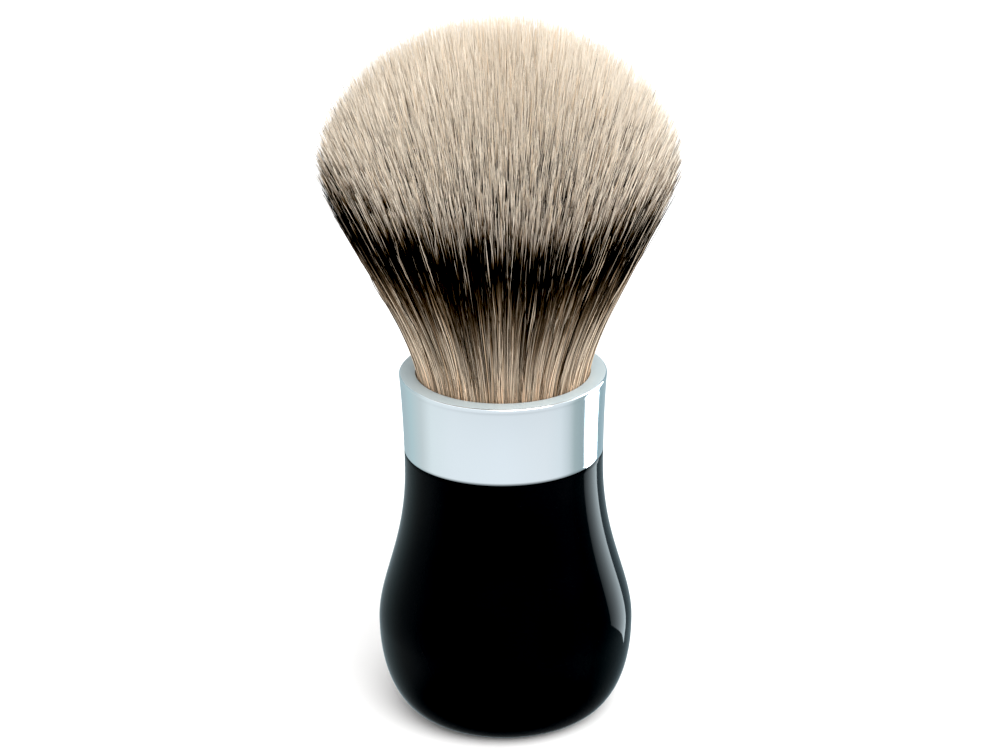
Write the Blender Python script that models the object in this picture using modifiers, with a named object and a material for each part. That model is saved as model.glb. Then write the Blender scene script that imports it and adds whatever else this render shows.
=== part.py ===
"""Shaving brush, as the pieces that come apart on a bench.

A hollow resin handle carries a plated metal collar.  A screw, reached through the
base, pulls the collar's spigot down onto the handle and holds a steel weight.  The
hair knot stands in a cup in the collar: its roots are potted and bound, and the free
hair above them bends forward and back at one joint and sideways at a second one.

Metres, +Z up, origin at the centre of the flat base.  Every piece is turned about Z.
"""

import math

import bmesh
import bpy

# ---------------------------------------------------------------- driving dimensions
GAP = 0.0003                      # clearance between pieces that touch

HANDLE_HEIGHT = 0.0403            # base to the underside of the collar
BELLY_SWELL = 0.0042              # how far the belly stands out beyond the waist
BELLY_HEIGHT = 0.0137
BELLY_ROUNDNESS = 2.15            # power of the curve from base to belly, 2 is an ellipse
BELLY_FULLNESS = 0.25             # how far the outline runs upright above the belly
WAIST_DROP = 0.0027               # the waist's depth below the collar
WAIST_FULLNESS = 0.50             # how far the outline runs upright below the waist
BASE_RING = 0.0016                # width of the ring that the brush stands on

COLLAR_HEIGHT = 0.0117            # the part of the collar that shows
COLLAR_WALL = 0.0019              # at the waist
COLLAR_FLARE = 0.00055            # how far the rim stands out beyond the waist
COLLAR_FLOOR = 0.0015
RIM_EDGE_ROUND = 0.00045          # outer edge of the rim
MOUTH_CHAMFER = 0.00025
SPIGOT_RADIUS = 0.0080
SPIGOT_LENGTH = 0.0096
THREAD_PITCH = 0.0016
THREAD_DEPTH = 0.0005
THREAD_TURNS = 4
SEAL_THICKNESS = 0.0010

POCKET_RADIUS = 0.0090            # hollow in the handle
WEB_THICKNESS = 0.0026            # between the hollow and the spigot's socket
KEY_ROOM = 0.0058                 # between the base cap and the weight
WEIGHT_CHAMFER = 0.0006

SCREW_RADIUS = 0.0025
SCREW_HEAD_RADIUS = 0.0042
SCREW_HEAD_HEIGHT = 0.0044
SCREW_HEAD_SINK = 0.0002          # below the weight's end
HEX_KEY_RADIUS = 0.0023
HEX_KEY_DEPTH = 0.0025
TAPPED_DEPTH = 0.0068             # in the spigot
SCREW_TIP_ROOM = 0.0010           # beyond the screw's tip
WASHER_OVERHANG = 0.0005          # beyond the screw's head
WASHER_THICKNESS = 0.0012
WASHER_SPLIT = 0.0009
WASHER_ROOM = 0.0007              # round the washer in the weight

CAP_LEDGE = 0.0004                # how far the cap reaches beyond the hollow
CAP_THICKNESS = 0.0026
CAP_CHAMFER = 0.0004
KEY_HOLE_RADIUS = 0.0009
KEY_HOLE_DEPTH = 0.0014
KEY_HOLE_SPACING = 0.0100

KNOT_RADIUS = 0.0120              # hair where it leaves the rim
CUP_WALL = 0.0007
CUP_FLOOR = 0.0008
CUP_DROP = 0.0022                 # the cup's lip below the rim
TWINE_THICKNESS = 0.0006
TWINE_TURNS = 4
TWINE_BAND = 0.0013               # inside to outside of the binding
TWINE_DROP = 0.0004               # the binding's depth below the cup's lip

BLOOM_SPREAD = 0.0128             # widest hair beyond the knot's radius at the rim
BLOOM_HEIGHT = 0.0303             # rim to the widest part
LOFT = 0.0503                     # rim to the tips
MOUTH_SLOPE = 0.189               # outward lean of the outer hairs at the rim
MOUTH_FULLNESS = 0.352            # how long they keep that lean
BLOOM_FULLNESS = 0.181            # how long they run upright below the widest part
DOME_ROUNDNESS = 1.85             # power of the dome, 2 is an ellipse
NOD_PIVOT = 0.0050                # heights above the rim
NOD_SPLIT = 0.0093
SWAY_PIVOT = 0.0130
SWAY_SPLIT = 0.0170

TURNED_STEPS = 40                 # facets round a large piece
SMALL_STEPS = 24                  # facets round a small piece
MERGE = 0.00001

# ---------------------------------------------------------------- derived sizes
SOCKET_RADIUS = KNOT_RADIUS + GAP
WAIST_RADIUS = SOCKET_RADIUS + COLLAR_WALL
RIM_RADIUS = WAIST_RADIUS + COLLAR_FLARE
BELLY_RADIUS = WAIST_RADIUS + BELLY_SWELL
BLOOM_RADIUS = KNOT_RADIUS + BLOOM_SPREAD
SEAL_RADIUS = (SPIGOT_RADIUS + WAIST_RADIUS) / 2
CAP_RADIUS = POCKET_RADIUS + CAP_LEDGE
BASE_FLAT_RADIUS = CAP_RADIUS + GAP + BASE_RING
WASHER_RADIUS = SCREW_HEAD_RADIUS + WASHER_OVERHANG
COUNTERBORE_RADIUS = WASHER_RADIUS + WASHER_ROOM
CUP_RADIUS = SOCKET_RADIUS - GAP
CUP_BORE = CUP_RADIUS - CUP_WALL
BINDING_RADIUS = CUP_BORE - GAP
BOUND_RADIUS = BINDING_RADIUS - TWINE_BAND - GAP

RIM_HEIGHT = HANDLE_HEIGHT + COLLAR_HEIGHT
WAIST_HEIGHT = HANDLE_HEIGHT - WAIST_DROP
HANDLE_TOP = HANDLE_HEIGHT - GAP
SOCKET_FLOOR = HANDLE_HEIGHT + COLLAR_FLOOR
SPIGOT_BOTTOM = HANDLE_HEIGHT - SPIGOT_LENGTH
SPIGOT_SOCKET_FLOOR = SPIGOT_BOTTOM - GAP
POCKET_TOP = SPIGOT_SOCKET_FLOOR - WEB_THICKNESS
WEIGHT_TOP = POCKET_TOP - GAP
WEIGHT_BOTTOM = CAP_THICKNESS + KEY_ROOM
HEAD_BOTTOM = WEIGHT_BOTTOM + SCREW_HEAD_SINK
HEAD_TOP = HEAD_BOTTOM + SCREW_HEAD_HEIGHT
WASHER_BOTTOM = HEAD_TOP + GAP
WASHER_TOP = WASHER_BOTTOM + WASHER_THICKNESS
SCREW_TIP = SPIGOT_BOTTOM + TAPPED_DEPTH - SCREW_TIP_ROOM
CUP_BOTTOM = SOCKET_FLOOR + GAP
CUP_TOP = RIM_HEIGHT - CUP_DROP
BINDING_TOP = CUP_TOP - TWINE_DROP
BINDING_BOTTOM = BINDING_TOP - TWINE_TURNS * TWINE_THICKNESS
PLUG_TOP = BINDING_BOTTOM - GAP
PLUG_BOTTOM = CUP_BOTTOM + CUP_FLOOR + GAP


# ---------------------------------------------------------------- outlines
def arc(centre_x, centre_z, radius, start_deg, end_deg, count):
    """Points along a circle; the angle is 0 at +X and 90 at +Z."""
    points = []
    for i in range(count + 1):
        angle = math.radians(start_deg + (end_deg - start_deg) * i / count)
        x = centre_x + radius * math.cos(angle)
        z = centre_z + radius * math.sin(angle)
        points.append((max(x, 0.0), z))
    return points


def bezier(start, leave, arrive, end, count):
    """Points along a cubic curve, both ends included."""
    points = []
    for i in range(count + 1):
        t = i / count
        weights = ((1 - t) ** 3, 3 * t * (1 - t) ** 2, 3 * t * t * (1 - t), t ** 3)
        corners = (start, leave, arrive, end)
        x = sum(w * c[0] for w, c in zip(weights, corners))
        z = sum(w * c[1] for w, c in zip(weights, corners))
        points.append((x, z))
    return points


def collar_side(height):
    """Radius of the collar's outer wall, which flares from the waist to the rim."""
    share = (height - WAIST_HEIGHT) / (RIM_HEIGHT - WAIST_HEIGHT)
    return WAIST_RADIUS + (RIM_RADIUS - WAIST_RADIUS) * max(share, 0.0) ** 2


def base_to_belly(count):
    """The handle's round foot, from the flat ring up to just below the belly."""
    points = []
    for i in range(count):
        drop = math.cos(math.pi / 2 * i / count)
        reach = (1 - drop ** BELLY_ROUNDNESS) ** (1 / BELLY_ROUNDNESS)
        x = BASE_FLAT_RADIUS + (BELLY_RADIUS - BASE_FLAT_RADIUS) * reach
        points.append((x, BELLY_HEIGHT * (1 - drop)))
    return points


def belly_to_waist(count):
    """The handle's side, upright at the belly and upright again at the waist."""
    rise = WAIST_HEIGHT - BELLY_HEIGHT
    leave = (BELLY_RADIUS, BELLY_HEIGHT + BELLY_FULLNESS * rise)
    arrive = (WAIST_RADIUS, WAIST_HEIGHT - WAIST_FULLNESS * rise)
    return bezier((BELLY_RADIUS, BELLY_HEIGHT), leave, arrive,
                  (WAIST_RADIUS, WAIST_HEIGHT), count)


def hair_side_point(t):
    """Radius and height above the rim on the hair's side; t runs from 0 to 1."""
    lean = MOUTH_FULLNESS * BLOOM_HEIGHT
    leave = (KNOT_RADIUS + MOUTH_SLOPE * lean, lean)
    arrive = (BLOOM_RADIUS, BLOOM_HEIGHT * (1 - BLOOM_FULLNESS))
    end = (BLOOM_RADIUS, BLOOM_HEIGHT)
    weights = ((1 - t) ** 3, 3 * t * (1 - t) ** 2, 3 * t * t * (1 - t), t ** 3)
    corners = ((KNOT_RADIUS, 0.0), leave, arrive, end)
    x = sum(w * c[0] for w, c in zip(weights, corners))
    z = sum(w * c[1] for w, c in zip(weights, corners))
    return x, z


def side_where(test):
    """The t at which test, false at the rim, turns true up the hair's side."""
    low, high = 0.0, 1.0
    for _ in range(50):
        middle = (low + high) / 2
        if test(*hair_side_point(middle)):
            high = middle
        else:
            low = middle
    return high


def hair_side(t_from, t_to, count):
    """Points on the hair's side between two t values, in world height."""
    points = []
    for i in range(count + 1):
        x, z = hair_side_point(t_from + (t_to - t_from) * i / count)
        points.append((x, RIM_HEIGHT + z))
    return points


def joint_sphere(pivot, split):
    """Radius of the ball about a pivot that meets the hair's side at height split."""
    x, z = hair_side_point(side_where(lambda x, z: z >= split))
    return math.hypot(x, z - pivot)


def ball_cap(pivot, radius, count):
    """The ball's outline from the axis down to where it meets the hair's side.

    Returns the points and the side's t there."""
    t = side_where(lambda x, z: math.hypot(x, z - pivot) >= radius and z >= pivot)
    x, z = hair_side_point(t)
    edge_deg = math.degrees(math.atan2(z - pivot, x))
    points = arc(0.0, RIM_HEIGHT + pivot, radius, 90, edge_deg, count)
    return points, t


def thread(crest_radius, top, step):
    """Outline of a thread's ridges, from top down."""
    points = []
    for turn in range(THREAD_TURNS):
        z = top - turn * step
        points.append((crest_radius, z))
        points.append((crest_radius - THREAD_DEPTH, z - step / 2))
    return points


# ---------------------------------------------------------------- making solids
def make_collections():
    parts = bpy.data.collections.new("shaving_brush")
    cutters = bpy.data.collections.new("cutters")
    bpy.context.scene.collection.children.link(parts)
    bpy.context.scene.collection.children.link(cutters)
    return parts, cutters


def turned(name, outline, steps, ring=False):
    """A solid turned about Z.  The outline runs down its outer side; a ring's closes."""
    mesh = bpy.data.meshes.new(name)
    vertices = [(x, 0.0, z) for x, z in outline]
    edges = [(i, i + 1) for i in range(len(outline) - 1)]
    if ring:
        edges.append((len(outline) - 1, 0))
    mesh.from_pydata(vertices, edges, [])
    piece = bpy.data.objects.new(name, mesh)
    PARTS.objects.link(piece)
    spin = piece.modifiers.new("turn", 'SCREW')
    spin.axis = 'Z'
    spin.steps = steps
    spin.render_steps = steps
    spin.use_merge_vertices = True
    spin.merge_threshold = MERGE
    spin.use_smooth_shade = True
    return piece


def rod_cutter(name, radius, bottom, top, x=0.0, sides=SMALL_STEPS):
    """An upright prism for cutting a hole."""
    mesh = bpy.data.meshes.new(name)
    shape = bmesh.new()
    bmesh.ops.create_cone(shape, cap_ends=True, segments=sides, radius1=radius,
                          radius2=radius, depth=top - bottom)
    bmesh.ops.translate(shape, verts=shape.verts, vec=(x, 0.0, (top + bottom) / 2))
    shape.to_mesh(mesh)
    shape.free()
    cutter = bpy.data.objects.new(name, mesh)
    CUTTERS.objects.link(cutter)
    return cutter


def box_cutter(name, low, high):
    """A block for cutting a slot, from its lowest to its highest corner."""
    mesh = bpy.data.meshes.new(name)
    shape = bmesh.new()
    bmesh.ops.create_cube(shape, size=1.0)
    size = [b - a for a, b in zip(low, high)]
    middle = [(b + a) / 2 for a, b in zip(low, high)]
    bmesh.ops.scale(shape, verts=shape.verts, vec=size)
    bmesh.ops.translate(shape, verts=shape.verts, vec=middle)
    shape.to_mesh(mesh)
    shape.free()
    cutter = bpy.data.objects.new(name, mesh)
    CUTTERS.objects.link(cutter)
    return cutter


def cut(piece, cutter):
    cutter.hide_render = True
    cutter.display_type = 'WIRE'
    step = piece.modifiers.new("cut_" + cutter.name, 'BOOLEAN')
    step.operation = 'DIFFERENCE'
    step.solver = 'EXACT'
    step.object = cutter


def finish(piece, colour, roughness, metallic=0.0, coat=0.0):
    """Gives a piece its own Principled material."""
    material = bpy.data.materials.new(piece.name)
    material.use_nodes = True
    shader = material.node_tree.nodes["Principled BSDF"]
    shader.inputs["Base Color"].default_value = (*colour, 1.0)
    shader.inputs["Roughness"].default_value = roughness
    shader.inputs["Metallic"].default_value = metallic
    shader.inputs["Coat Weight"].default_value = coat
    piece.data.materials.append(material)


# ---------------------------------------------------------------- handle
def make_handle_body():
    """Black resin shell: a pocket open at the base, a web, a socket at the top."""
    outside = base_to_belly(7) + belly_to_waist(8)
    outside.append((collar_side(HANDLE_TOP), HANDLE_TOP))
    outside.reverse()
    groove_half = SEAL_THICKNESS / 2 + GAP
    groove_floor = HANDLE_TOP - SEAL_THICKNESS - GAP
    top_face = [
        (SPIGOT_RADIUS + GAP, HANDLE_TOP),
        (SEAL_RADIUS - groove_half, HANDLE_TOP),
        (SEAL_RADIUS - groove_half, groove_floor),
        (SEAL_RADIUS + groove_half, groove_floor),
        (SEAL_RADIUS + groove_half, HANDLE_TOP),
    ]
    inside = [
        (CAP_RADIUS + GAP, 0.0),
        (CAP_RADIUS + GAP, CAP_THICKNESS + GAP),
        (POCKET_RADIUS, CAP_THICKNESS + GAP),
        (POCKET_RADIUS, POCKET_TOP),
        (SCREW_RADIUS + GAP, POCKET_TOP),
        (SCREW_RADIUS + GAP, SPIGOT_SOCKET_FLOOR),
        (SPIGOT_RADIUS + GAP, SPIGOT_SOCKET_FLOOR),
    ]
    handle = turned("handle_body", top_face + outside + inside, TURNED_STEPS, ring=True)
    finish(handle, (0.004, 0.004, 0.004), 0.06, coat=1.0)


def make_base_cap():
    """Plug that closes the pocket, with two blind holes for a pin key."""
    outline = [
        (0.0, CAP_THICKNESS),
        (CAP_RADIUS, CAP_THICKNESS),
        (CAP_RADIUS, CAP_CHAMFER),
        (CAP_RADIUS - CAP_CHAMFER, 0.0),
        (0.0, 0.0),
    ]
    cap = turned("base_cap", outline, TURNED_STEPS)
    for side, x in (("left", -KEY_HOLE_SPACING / 2), ("right", KEY_HOLE_SPACING / 2)):
        hole = rod_cutter("key_hole_" + side, KEY_HOLE_RADIUS, -KEY_HOLE_DEPTH,
                          KEY_HOLE_DEPTH, x=x, sides=12)
        cut(cap, hole)
    finish(cap, (0.012, 0.012, 0.013), 0.45)


def make_counterweight():
    """Steel slug on the screw, chamfered, with a counterbore for the screw's head."""
    radius = POCKET_RADIUS - GAP
    bore = SCREW_RADIUS + GAP
    shoulder = WASHER_TOP + GAP
    outline = [
        (bore, WEIGHT_TOP),
        (radius - WEIGHT_CHAMFER, WEIGHT_TOP),
        (radius, WEIGHT_TOP - WEIGHT_CHAMFER),
        (radius, WEIGHT_BOTTOM + WEIGHT_CHAMFER),
        (radius - WEIGHT_CHAMFER, WEIGHT_BOTTOM),
        (COUNTERBORE_RADIUS, WEIGHT_BOTTOM),
        (COUNTERBORE_RADIUS, shoulder),
        (bore, shoulder),
    ]
    weight = turned("counterweight", outline, SMALL_STEPS, ring=True)
    finish(weight, (0.42, 0.43, 0.45), 0.38, metallic=1.0)


def make_tie_screw():
    """Socket-head screw, head down, that ties weight, handle and collar together."""
    point = 0.2 * SCREW_RADIUS
    outline = [
        (0.0, SCREW_TIP),
        (SCREW_RADIUS - point, SCREW_TIP),
        (SCREW_RADIUS, SCREW_TIP - point),
        (SCREW_RADIUS, HEAD_TOP),
        (SCREW_HEAD_RADIUS, HEAD_TOP),
        (SCREW_HEAD_RADIUS, HEAD_BOTTOM + point),
        (SCREW_HEAD_RADIUS - point, HEAD_BOTTOM),
        (0.0, HEAD_BOTTOM),
    ]
    screw = turned("tie_screw", outline, SMALL_STEPS)
    key = rod_cutter("hex_key", HEX_KEY_RADIUS, HEAD_BOTTOM - HEX_KEY_DEPTH,
                     HEAD_BOTTOM + HEX_KEY_DEPTH, sides=6)
    cut(screw, key)
    finish(screw, (0.55, 0.55, 0.57), 0.3, metallic=1.0)


def make_lock_washer():
    """Split spring washer between the screw's head and the weight."""
    inner = SCREW_RADIUS + GAP
    outline = [
        (inner, WASHER_TOP),
        (WASHER_RADIUS, WASHER_TOP),
        (WASHER_RADIUS, WASHER_BOTTOM),
        (inner, WASHER_BOTTOM),
    ]
    washer = turned("lock_washer", outline, SMALL_STEPS, ring=True)
    split = box_cutter("washer_split", (0.0, -WASHER_SPLIT / 2, WASHER_BOTTOM - GAP),
                       (2 * WASHER_RADIUS, WASHER_SPLIT / 2, WASHER_TOP + GAP))
    cut(washer, split)
    finish(washer, (0.5, 0.5, 0.52), 0.35, metallic=1.0)


# ---------------------------------------------------------------- collar
def make_collar():
    """Plated brass collar: rim, socket for the knot, and a threaded spigot below."""
    edge_x = RIM_RADIUS - RIM_EDGE_ROUND
    edge_z = RIM_HEIGHT - RIM_EDGE_ROUND
    outline = [(SOCKET_RADIUS + MOUTH_CHAMFER, RIM_HEIGHT)]
    outline += arc(edge_x, edge_z, RIM_EDGE_ROUND, 90, 0, 3)
    wall_steps = 4
    for i in range(1, wall_steps + 1):
        z = edge_z + (HANDLE_HEIGHT - edge_z) * i / wall_steps
        outline.append((collar_side(z), z))
    thread_top = HANDLE_HEIGHT - THREAD_PITCH
    outline.append((SPIGOT_RADIUS, HANDLE_HEIGHT))
    outline += thread(SPIGOT_RADIUS, thread_top, THREAD_PITCH)
    tapped_top = SPIGOT_BOTTOM + TAPPED_DEPTH
    outline += [
        (SPIGOT_RADIUS, SPIGOT_BOTTOM),
        (SCREW_RADIUS + GAP, SPIGOT_BOTTOM),
        (SCREW_RADIUS + GAP, tapped_top),
        (0.0, tapped_top),
    ]
    socket = [
        (0.0, SOCKET_FLOOR),
        (SOCKET_RADIUS, SOCKET_FLOOR),
        (SOCKET_RADIUS, RIM_HEIGHT - MOUTH_CHAMFER),
    ]
    collar = turned("collar", socket + outline, TURNED_STEPS)
    finish(collar, (0.78, 0.82, 0.84), 0.05, metallic=1.0)


def make_collar_seal():
    """Rubber ring in the handle's groove, under the collar."""
    radius = SEAL_THICKNESS / 2
    centre = HANDLE_HEIGHT - GAP - radius
    outline = arc(SEAL_RADIUS, centre, radius, 180, -180, 6)[:-1]
    seal = turned("collar_seal", outline, TURNED_STEPS, ring=True)
    finish(seal, (0.02, 0.02, 0.02), 0.7)


# ---------------------------------------------------------------- knot
def make_knot_cup():
    """Thin aluminium cup that the hair's roots are set in."""
    outline = [
        (0.0, CUP_BOTTOM + CUP_FLOOR),
        (CUP_BORE, CUP_BOTTOM + CUP_FLOOR),
        (CUP_BORE, CUP_TOP),
        (CUP_RADIUS, CUP_TOP),
        (CUP_RADIUS, CUP_BOTTOM),
        (0.0, CUP_BOTTOM),
    ]
    cup = turned("knot_cup", outline, TURNED_STEPS)
    finish(cup, (0.6, 0.6, 0.62), 0.3, metallic=1.0)


def make_knot_plug():
    """Cured epoxy that holds the roots in the cup."""
    outline = [
        (0.0, PLUG_TOP),
        (BINDING_RADIUS, PLUG_TOP),
        (BINDING_RADIUS, PLUG_BOTTOM),
        (0.0, PLUG_BOTTOM),
    ]
    plug = turned("knot_plug", outline, SMALL_STEPS)
    finish(plug, (0.35, 0.24, 0.08), 0.25)


def make_knot_binding():
    """Waxed twine round the bundle, one bulge for each turn."""
    outline = []
    half = TWINE_THICKNESS / 2
    for turn in range(TWINE_TURNS):
        centre = BINDING_TOP - half - turn * TWINE_THICKNESS
        bulge = arc(BINDING_RADIUS - half, centre, half, 60, -60, 3)
        outline += bulge
    outline.append((BINDING_RADIUS - TWINE_BAND, BINDING_BOTTOM + half / 2))
    outline.append((BINDING_RADIUS - TWINE_BAND, BINDING_TOP - half / 2))
    binding = turned("knot_binding", outline, SMALL_STEPS, ring=True)
    finish(binding, (0.55, 0.47, 0.33), 0.8)


def make_hair_root():
    """Hair from the potting up to the ball that the nodding hair turns on."""
    radius = joint_sphere(NOD_PIVOT, NOD_SPLIT)
    dome, edge = ball_cap(NOD_PIVOT, radius, 7)
    side = hair_side(edge, 0.0, 5)[1:]
    below = [
        (KNOT_RADIUS - GAP, CUP_TOP + 2 * GAP),
        (BOUND_RADIUS, BINDING_TOP + GAP),
        (BOUND_RADIUS, BINDING_BOTTOM),
        (0.0, BINDING_BOTTOM),
    ]
    root = turned("hair_root", dome + side + below, TURNED_STEPS)
    finish(root, (0.50, 0.40, 0.29), 0.6)


def make_hair_neck():
    """Hair between the two joints: hollowed by the lower ball, domed by the upper."""
    lower_radius = joint_sphere(NOD_PIVOT, NOD_SPLIT) + GAP
    upper_radius = joint_sphere(SWAY_PIVOT, SWAY_SPLIT)
    dome, top_edge = ball_cap(SWAY_PIVOT, upper_radius, 8)
    hollow, bottom_edge = ball_cap(NOD_PIVOT, lower_radius, 8)
    side = hair_side(top_edge, bottom_edge, 3)[1:-1]
    hollow.reverse()
    neck = turned("hair_neck", dome + side + hollow, TURNED_STEPS)
    finish(neck, (0.11, 0.08, 0.06), 0.6)


def make_hair_head():
    """Free hair above the upper joint, up to the domed tips."""
    radius = joint_sphere(SWAY_PIVOT, SWAY_SPLIT) + GAP
    hollow, edge = ball_cap(SWAY_PIVOT, radius, 9)
    side = hair_side(1.0, edge, 6)[:-1]
    dome = []
    dome_steps = 9
    power = 2 / DOME_ROUNDNESS
    for i in range(dome_steps):
        angle = math.pi / 2 * (1 - i / dome_steps)
        x = BLOOM_RADIUS * max(math.cos(angle), 0.0) ** power if i else 0.0
        rise = (LOFT - BLOOM_HEIGHT) * math.sin(angle) ** power
        dome.append((x, RIM_HEIGHT + BLOOM_HEIGHT + rise))
    hollow.reverse()
    head = turned("hair_head", dome + side + hollow, TURNED_STEPS)
    finish(head, (0.66, 0.56, 0.44), 0.6)


for old in list(bpy.data.objects):
    bpy.data.objects.remove(old)
PARTS, CUTTERS = make_collections()
make_handle_body()
make_base_cap()
make_counterweight()
make_tie_screw()
make_lock_washer()
make_collar()
make_collar_seal()
make_knot_cup()
make_knot_plug()
make_knot_binding()
make_hair_root()
make_hair_neck()
make_hair_head()
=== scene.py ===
"""Shaving brush: the looks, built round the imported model.  Metres, +Z up, base on the floor."""

import math

import bpy
import numpy as np
from mathutils import Matrix, Vector


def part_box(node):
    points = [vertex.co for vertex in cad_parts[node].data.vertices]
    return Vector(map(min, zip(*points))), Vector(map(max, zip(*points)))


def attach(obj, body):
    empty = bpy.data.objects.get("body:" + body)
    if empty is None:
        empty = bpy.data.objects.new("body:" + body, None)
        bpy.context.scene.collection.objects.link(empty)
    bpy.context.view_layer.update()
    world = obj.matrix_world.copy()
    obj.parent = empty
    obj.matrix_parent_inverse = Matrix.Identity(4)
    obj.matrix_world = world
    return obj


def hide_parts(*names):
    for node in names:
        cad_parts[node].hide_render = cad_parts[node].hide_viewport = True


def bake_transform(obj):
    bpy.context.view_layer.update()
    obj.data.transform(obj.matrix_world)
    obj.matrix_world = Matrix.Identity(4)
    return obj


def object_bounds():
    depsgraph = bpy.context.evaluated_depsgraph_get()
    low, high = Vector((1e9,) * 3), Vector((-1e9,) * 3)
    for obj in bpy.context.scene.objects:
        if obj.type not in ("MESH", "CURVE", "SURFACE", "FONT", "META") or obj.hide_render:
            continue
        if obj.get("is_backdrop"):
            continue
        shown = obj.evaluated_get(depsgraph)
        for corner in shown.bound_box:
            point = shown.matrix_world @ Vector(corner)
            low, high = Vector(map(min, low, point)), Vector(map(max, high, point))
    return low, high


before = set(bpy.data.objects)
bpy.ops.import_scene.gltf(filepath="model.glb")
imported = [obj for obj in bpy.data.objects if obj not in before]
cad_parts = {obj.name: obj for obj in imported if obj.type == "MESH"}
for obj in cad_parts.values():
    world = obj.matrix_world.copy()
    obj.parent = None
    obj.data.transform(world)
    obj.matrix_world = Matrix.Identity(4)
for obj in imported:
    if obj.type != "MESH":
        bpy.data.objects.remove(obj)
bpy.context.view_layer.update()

# ---------------------------------------------------------------- handle body
# A pear-shaped shell of black casting resin, turned on a lathe and buffed to a deep
# gloss.  It is bored from below for the weight and from above for the collar's spigot.
handle_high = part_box("handle_body")[1]
collar_low, collar_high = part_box("collar")
cap_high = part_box("base_cap")[1]
weight_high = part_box("counterweight")[1]
rim_height = collar_high.z
touch = 0.0003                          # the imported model's gap between pieces
seam = 0.00005                          # the fine line that shows under the collar
ease = 0.0001                           # the small chamfer on turned edges
fine_ease = 0.00003                     # the first facet of such a chamfer
seat_height = handle_high.z + touch     # the collar's underside
belly_radius = handle_high.x
belly_height = 0.0137
waist_radius = 0.0142
waist_height = seat_height - 0.0027
standing_ring = 0.0016                  # width of the flat ring that the brush stands on
flat_radius = cap_high.x + touch + standing_ring
spigot_bottom = collar_low.z
spigot_radius = 0.0080
pocket_radius = weight_high.x + touch
pocket_top = weight_high.z + touch
screw_hole = 0.0028


def round_corners(corners, steps=5):
    """Straight runs with each corner eased to its own radius; corners are (x, z, radius)."""
    outline = []
    for i, (x, z, radius) in enumerate(corners):
        here = Vector((x, z))
        if radius == 0:
            outline.append((x, z))
            continue
        back = (Vector(corners[i - 1][:2]) - here).normalized()
        ahead = (Vector(corners[(i + 1) % len(corners)][:2]) - here).normalized()
        half = back.angle(ahead) / 2
        centre = here + (back + ahead).normalized() * (radius / math.sin(half))
        start = here + back * (radius / math.tan(half)) - centre
        end = here + ahead * (radius / math.tan(half)) - centre
        for k in range(steps + 1):
            spoke = start.lerp(end, k / steps).normalized() * radius
            outline.append(tuple(centre + spoke))
    return outline


def bezier(start, leave, arrive, end, steps):
    """Points along a cubic curve, both ends included."""
    points = []
    for i in range(steps + 1):
        t = i / steps
        weights = ((1 - t) ** 3, 3 * t * (1 - t) ** 2, 3 * t * t * (1 - t), t ** 3)
        x = sum(w * p[0] for w, p in zip(weights, (start, leave, arrive, end)))
        z = sum(w * p[1] for w, p in zip(weights, (start, leave, arrive, end)))
        points.append((x, z))
    return points


def add_object(name, data):
    """A new object in the scene's collection."""
    new_object = bpy.data.objects.new(name, data)
    bpy.context.scene.collection.objects.link(new_object)
    return new_object


crease_angle = math.radians(32)         # turned edges sharper than this stay crisp


def turn_on_lathe(name, outline, steps=256):
    """A piece turned about Z from its outline, which runs down its outer side.

    An outline that starts and ends on the axis makes a plug, any other one a ring."""
    plug = outline[0][0] == 0 and outline[-1][0] == 0
    rings = outline[1:-1] if plug else outline
    angles = [2 * math.pi * k / steps for k in range(steps)]
    verts = [(x * math.cos(a), x * math.sin(a), z) for x, z in rings for a in angles]
    faces = []
    last = len(rings) - 1 if plug else len(rings)
    for i in range(last):
        upper = i * steps
        lower = (i + 1) % len(rings) * steps
        for k in range(steps):
            side = (k + 1) % steps
            faces.append((upper + k, lower + k, lower + side, upper + side))
    if plug:
        top = len(verts)
        verts += [(0, 0, outline[0][1]), (0, 0, outline[-1][1])]
        low_ring = (len(rings) - 1) * steps
        for k in range(steps):
            side = (k + 1) % steps
            faces.append((top, k, side))
            faces.append((top + 1, low_ring + side, low_ring + k))
    mesh = bpy.data.meshes.new(name)
    mesh.from_pydata(verts, [], faces)
    mesh.shade_smooth()
    mesh.set_sharp_from_angle(angle=crease_angle)
    return add_object(name, mesh)


def foot_outline(steps):
    """The round foot, from the flat ring that the brush stands on up to the belly."""
    roundness = 2.15
    points = []
    for i in range(steps):
        drop = math.cos(math.pi / 2 * i / steps)
        reach = (1 - drop ** roundness) ** (1 / roundness)
        x = flat_radius + (belly_radius - flat_radius) * reach
        points.append((x, belly_height * (1 - drop)))
    return points


def collar_radius(height):
    """The flare that the collar and the handle's neck share, from the waist to the rim."""
    share = (height - waist_height) / (rim_height - waist_height)
    return waist_radius + (collar_high.x - waist_radius) * max(share, 0.0) ** 2


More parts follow.
